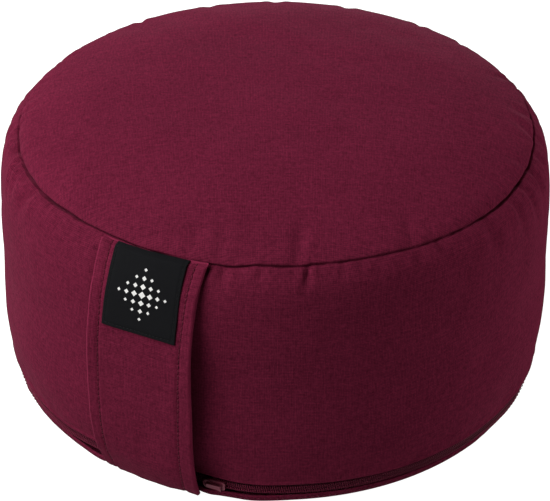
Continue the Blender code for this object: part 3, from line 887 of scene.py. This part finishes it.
def strip_piece(name, section, distances, relief, lift, material, place=strap_surface):
    """A closed strip of cloth along the handle's path."""
    across = np.broadcast_to(section[:, 0], (len(distances), len(section)))
    level = np.broadcast_to(section[:, 1], across.shape) + lift
    face = np.clip(section[:, 1] / section[:, 1].max(), 0, 1)
    level = level + relief(across, distances[:, None]) * face
    points = place(across, distances[:, None], level)
    rows, columns = across.shape
    quads = ring_faces(rows, columns)[:, ::-1]
    ends = [range(columns), range(rows * columns - 1, (rows - 1) * columns - 1, -1)]
    # The weave runs round the section from its outer face's left edge; the two ends have none.
    round_it = distance_along(section)
    row, column = quads // columns, quads % columns
    closing = (column == 0) & (column.max(1) == columns - 1)[:, None]
    total = round_it[-1] + np.hypot(*(section[0] - section[-1]))
    u = np.where(closing, total, round_it[column]) + section[0, 0]
    weave = np.stack([u, distances[row]], -1).reshape(-1, 2) * MM
    weave = np.concatenate([weave, np.zeros((2 * columns, 2))])
    return new_piece(name, points, [*quads, *ends], material, weave)


# How far the strap's face dips where the top seam holds it, and over what length.
START_SINK = 2.8
START_REACH = 3.4


def start_sink(distance):
    return START_SINK * (1 - ramp(distance, 0.0, START_REACH))


def handle_relief(across, distance):
    """Puffed folded edges, a groove along each stitch line, and a soft unevenness."""
    edge = HANDLE_HALF_WIDTH - np.abs(across)
    groove = sum(bell(across - start - drift * distance, 1.15) for start, drift in STRAP_SEAMS)
    pinch = 0.75 + 0.25 * np.cos(distance / STITCH_PITCH * math.tau)
    where = np.stack(np.broadcast_arrays(across, distance, 0.0 * across), -1)
    soft = 0.22 * lumps(where, 24.0, 12, 61) + 0.10 * lumps(where, 9.0, 12, 62)
    roll = dent(edge, 0.34, 1.4, 1.3)
    puff = dent(edge, 0.14, 4.0, 2.0) + dent(across - STRAP_SEAMS[0][0], 0.22, 2.0, 1.1)
    return soft + roll + puff - 0.6 * groove * pinch - start_sink(distance)


# The strap's columns: even ones, finer ones this far to both sides of each line of stitches and in
# from each edge, and the least distance between the two kinds.
HANDLE_COLUMNS = 66
FINE_REACH = 2.4
FINE_STEP = 0.48
FINE_FROM_EDGE = (1.1, 1.5, 2.0, 2.6)
FINE_GAP = 0.35


def handle_columns():
    coarse = np.linspace(-HANDLE_HALF_WIDTH, HANDLE_HALF_WIDTH, HANDLE_COLUMNS)
    fine = []
    for side, (start, drift) in zip((-1, 1), STRAP_SEAMS):
        end = start + drift * STRAP_LENGTH
        left, right = min(start, end) - FINE_REACH, max(start, end) + FINE_REACH
        fine += list(np.arange(left, right, FINE_STEP))
        fine += [side * (HANDLE_HALF_WIDTH - e) for e in FINE_FROM_EDGE]
    return sorted(fine + [a for a in coarse if all(abs(a - f) > FINE_GAP for f in fine)])


def make_handle():
    section = strip_section(HANDLE_HALF_WIDTH, HANDLE_THICKNESS, handle_columns())
    distances = np.linspace(0.0, STRAP_LENGTH, int(STRAP_LENGTH / (STITCH_PITCH / 4)) + 1)
    return strip_piece("handle_strap", section, distances, handle_relief, 0.0, STRAP_CANVAS)


def stitch_row(start, end, lift_at, radius, pitch, length, place=strap_surface):
    """Stitches along a line on the strap, each an arched bead that dips into the cloth."""
    start, end = np.array(start, dtype=float), np.array(end, dtype=float)
    total = np.linalg.norm(end - start)
    arch = np.array([-0.30, 0.02, 0.12, 0.12, 0.02, -0.30]) * radius / 0.3
    size = radius * np.array([0.55, 0.95, 1.0, 1.0, 0.95, 0.55])
    parts = []
    for i in range(int(total / pitch)):
        shares = ((i + 0.5) * pitch + np.linspace(-0.5, 0.5, 6) * length) / total
        across, distance = (start + (end - start) * shares[:, None]).T
        parts.append(tube(place(across, distance, lift_at(across, distance) + arch), size, 6))
    return parts


def make_handle_stitches():
    def lift_at(across, distance):
        return HANDLE_THICKNESS / 2 + handle_relief(across, distance) + 0.12

    parts = []
    for start, drift in STRAP_SEAMS:
        end = (start + drift * STRAP_LENGTH, STRAP_LENGTH - 3.0)
        parts += stitch_row((start, 0.0), end, lift_at, 0.27, STITCH_PITCH, STITCH_LENGTH)
    return joined_piece("handle_stitches", parts, THREAD)


LABEL_SEAM_IN = 1.7
LABEL_BOTTOM = LABEL_START + LABEL_LENGTH
LABEL_THICKNESS = 0.9
LABEL_COLUMNS = 74
# The label's lattice: pitch of its rows and distance down to its middle in metres, how many rows
# it has from there, and its lozenges' size in pitches, there and less from row to row.
MOTIF_PITCH = 0.0046
MOTIF_MIDDLE = 0.0238
MOTIF_ROWS = 3.5
MOTIF_SIZE = 0.44
MOTIF_SHRINK = 0.075


def label_surface(across, distance, lift):
    """Points on the label, which lies askew on the strap."""
    share = (distance - LABEL_START) / LABEL_LENGTH
    wide = across * (1 + LABEL_FLARE * share) + LABEL_SHIFT + LABEL_DRIFT * share
    return strap_surface(wide, distance + LABEL_SKEW * across * share, lift)


def label_relief(across, distance):
    near = np.minimum(LABEL_HALF_WIDTH - np.abs(across), LABEL_BOTTOM - distance)
    where = np.stack(np.broadcast_arrays(across, distance, 0.0 * across), -1)
    soft = 0.10 * lumps(where, 16.0, 10, 71)
    return soft - dent(near, 0.30, LABEL_SEAM_IN, 0.7) - dent(near, 0.18, 0.0, 0.8)


def label_material():
    s = Surface("label_cloth", 0.8, Specular_IOR_Level=0.03)
    height, tone = plain_weave(s, 0.00036, 0.00030, 0.0002)
    fuzz = s.noise(s.place(), 900.0, 3.0, 0.6)
    # The weave's height darkens the low places between threads as painted shade, mixed with the
    # threads' own tone and fuzz.
    share = s.math("ADD", s.math("MULTIPLY", height, 0.35), s.math("MULTIPLY", tone, 0.4))
    share = s.math("ADD", share, s.math("MULTIPLY_ADD", fuzz, 0.5, -0.1))
    ground = s.tones(share, (0.0056, 0.0057, 0.0064), 0.5, 1.5)
    # A plain woven lattice: rows of small lozenges, smaller away from its middle.
    parts = s.node("SeparateXYZ", {0: s.weave_map()}).node
    down = s.math("SUBTRACT", parts.outputs[1], LABEL_START * MM + MOTIF_MIDDLE)
    here, far = [], []
    for place in (parts.outputs[0], down):
        place = s.math("DIVIDE", place, MOTIF_PITCH)
        cell = s.math("SUBTRACT", s.math("FRACT", s.math("ADD", place, 0.5)), 0.5)
        here.append(s.math("ABSOLUTE", cell))
        far.append(s.math("ABSOLUTE", s.math("ROUND", place)))
    here, far = s.math("ADD", *here), s.math("ADD", *far)
    inside = s.math("LESS_THAN", far, MOTIF_ROWS)
    size = s.math("SUBTRACT", MOTIF_SIZE, s.math("MULTIPLY", far, MOTIF_SHRINK))
    rough_edge = s.math("MULTIPLY_ADD", fuzz, 0.05, -0.025)
    lozenge = s.math("LESS_THAN", s.math("ADD", here, rough_edge), size)
    motif = s.math("MULTIPLY", lozenge, inside)
    yarn = s.mix(share, (0.42, 0.41, 0.40, 1.0), (0.74, 0.73, 0.71, 1.0))
    colour = s.mix(motif, ground, yarn)
    relief = s.math("ADD", height, s.math("MULTIPLY", motif, 1.2))
    return s.finish(colour, relief, 0.3, 0.0001)


def make_label():
    columns = np.linspace(-LABEL_HALF_WIDTH, LABEL_HALF_WIDTH, LABEL_COLUMNS)
    section = strip_section(LABEL_HALF_WIDTH, LABEL_THICKNESS, columns)
    distances = np.concatenate([np.linspace(LABEL_START, LABEL_BOTTOM - 2.4, 70),
                                LABEL_BOTTOM - np.linspace(2.0, 0.0, 8)])
    lift = LABEL_LIFT - start_sink(distances)[:, None]
    return strip_piece("woven_label", section, distances, label_relief, lift, label_material(),
                       label_surface)


def make_label_stitches():
    def lift_at(across, distance):
        return LABEL_LIFT + 0.5 + label_relief(across, distance) - start_sink(distance)

    side = LABEL_HALF_WIDTH - LABEL_SEAM_IN
    low = LABEL_BOTTOM - LABEL_SEAM_IN
    lines = [((-side, 2.5), (-side, low)), ((side, 2.5), (side, low)), ((-side, low), (side, low))]
    parts = []
    for start, end in lines:
        parts += stitch_row(start, end, lift_at, 0.2, 2.2, 1.6, label_surface)
    return joined_piece("label_stitches", parts, DARK_THREAD)


# Slider and pull: their own solids, lacquered, and moved with the zip where it is drawn in

def lacquer():
    s = Surface("zip_metal", 0.38, Metallic=0.2, Specular_IOR_Level=0.4, Coat_Weight=0.15,
                Coat_Roughness=0.25)
    place = s.place()
    worn = s.noise(place, 900.0, 4.0, 0.6)
    colour = s.mix(worn, (0.115, 0.0125, 0.029, 1.0), (0.200, 0.030, 0.055, 1.0))
    return s.finish(colour, s.noise(place, 2500.0, 2.0), 0.12, 0.00005)


# The slider's place round the zip and its turn there, the pull's turn on its post, how far along
# the zip the post lies from the slider's middle, and the width of the rounded edges in metres.
SLIDER_ANGLE = 13.4
SLIDER_YAW = -9.0
PULL_TURN = 13.0
PULL_POST = -4.2
SOFT_EDGE = 0.0002


def metal_piece(name, node, material, turn):
    """A copy of a solid of the slider, turned on the post and seated on the drawn-in zip."""
    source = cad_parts[node]
    mesh = source.data.copy()
    mesh.name = name
    angle = math.radians(SLIDER_ANGLE)
    out = Vector((math.sin(angle), -math.cos(angle), 0.0))
    along = Vector((-out.y, out.x, 0.0))
    centre = out * COIL_RADIUS * MM + Vector((0.0, 0.0, COIL_LEVEL * MM))
    post = centre + along * PULL_POST * MM
    inward = float(hem_press(SLIDER_ANGLE) - handle_press(SLIDER_ANGLE)) * MM
    swing = Matrix.Rotation(math.radians(turn), 4, out)
    swing = Matrix.Translation(post) @ swing @ Matrix.Translation(-post)
    yaw = Matrix.Rotation(math.radians(SLIDER_YAW), 4, "Z")
    seat = Matrix.Translation(centre - out * inward) @ yaw @ Matrix.Translation(-centre)
    mesh.transform(seat @ swing @ source.matrix_world)
    mesh.materials.clear()
    mesh.materials.append(material)
    piece = add_object(name, mesh)
    bevel = piece.modifiers.new("soft_edges", "BEVEL")
    bevel.width = SOFT_EDGE
    bevel.segments = 2
    bevel.limit_method = "ANGLE"
    stand_for(piece, "zip_metal", node)


# Floor, lights and camera, in metres

FLOOR_HALF = 6.0
FLOOR_GREY = (0.2, 0.2, 0.2, 1.0)
FLOOR_GLOW = 1.0
FILL_GLOW = 0.37
FLOOR_LEVEL = -0.0002
FILL_LEVEL = -0.0004


def floor_plane(name, level, glow):
    s = Surface(name, 0.8, Emission_Color=(1.0, 1.0, 1.0, 1.0), Emission_Strength=glow)
    mesh = bpy.data.meshes.new(name)
    low, high = -FLOOR_HALF, FLOOR_HALF
    corners = [(low, low, 0), (high, low, 0), (high, high, 0), (low, high, 0)]
    mesh.from_pydata(corners, [], [(0, 1, 2, 3)])
    mesh.materials.append(s.finish(FLOOR_GREY))
    plane = add_object(name, mesh)
    plane.location.z = level
    return plane


def make_floor():
    """The white floor, and just under it a plane that gives back the softer light of a real one."""
    floor = floor_plane("floor", FLOOR_LEVEL, FLOOR_GLOW)
    floor.visible_diffuse = False
    floor.visible_glossy = False
    floor.visible_shadow = False
    fill = floor_plane("floor_fill", FILL_LEVEL, FILL_GLOW)
    fill.visible_camera = False


VIEW_ANGLE = 25.6
LAMP_DISTANCE = 1.7
LAMP_SIZE = 1.1
LAMPS = [  # name, angle from the camera's side and positive to its right, rise, power in watts
    ("front_left", -50.0, 30.0, 14.2),
    ("key_left", -75.0, 51.0, 34.0),
    ("rim_left", -150.0, 10.0, 44.0),
    ("rim_right", 105.0, 10.0, 26.5),
    ("side_right", 75.0, 10.0, 5.6),
]


def make_lights():
    for name, angle, rise, power in LAMPS:
        light = bpy.data.lights.new(name, "AREA")
        light.shape = "RECTANGLE"
        light.size = light.size_y = LAMP_SIZE
        light.energy = power
        turn = math.radians(angle + VIEW_ANGLE)
        rise = math.radians(rise)
        flat = math.cos(rise)
        place = Vector((math.sin(turn) * flat, -math.cos(turn) * flat, math.sin(rise)))
        lamp = add_object(name, light)
        lamp.location = place * LAMP_DISTANCE
        lamp.rotation_euler = (-place).to_track_quat("-Z", "Y").to_euler()
    world = bpy.data.worlds.new("studio")
    bpy.context.scene.world = world
    world.use_nodes = True
    world.node_tree.nodes["Background"].inputs["Strength"].default_value = 0.0


# The camera, fitted to the photo: place, lens in millimetres, tilt in degrees, roll in radians.
CAMERA_PLACE = (0.4927, -1.0284, 0.8216)
CAMERA_LENS = 146.52
CAMERA_SENSOR = 36.0
CAMERA_TILT = 56.49
CAMERA_ROLL = 0.0064


def make_camera():
    data = bpy.data.cameras.new("camera")
    data.lens = CAMERA_LENS
    data.sensor_width = CAMERA_SENSOR
    data.sensor_fit = "HORIZONTAL"
    camera = add_object("camera", data)
    turn = Matrix.Rotation(math.radians(VIEW_ANGLE), 4, "Z")
    tilt = Matrix.Rotation(math.radians(CAMERA_TILT), 4, "X")
    roll = Matrix.Rotation(CAMERA_ROLL, 4, "Z")
    camera.matrix_world = Matrix.Translation(CAMERA_PLACE) @ turn @ tilt @ roll
    bpy.context.scene.camera = camera


cushion = make_cushion()
stand_for(cushion, "canvas", "cushion")

stand_for(make_base(), "canvas", "base_panel")
stand_for(make_base_stitches(), "canvas")

stand_for(make_tape(), "zip_tape", "zip_tape")
stand_for(make_coil(), "zip_nylon", "zip_coil")
stand_for(make_coil_stitches(), "zip_tape")

handle = make_handle()
stand_for(handle, "canvas", "handle")
handle_stitches = make_handle_stitches()
stand_for(handle_stitches, "canvas")
label = make_label()
stand_for(label, "label_cloth", "label")
label_stitches = make_label_stitches()
stand_for(label_stitches, "label_cloth")

LACQUER = lacquer()
metal_piece("slider_body", "zip_slider", LACQUER, 0.0)
metal_piece("slider_pull", "zip_pull", LACQUER, PULL_TURN)
make_floor()
make_lights()
make_camera()
bpy.context.scene.view_settings.view_transform = "Standard"
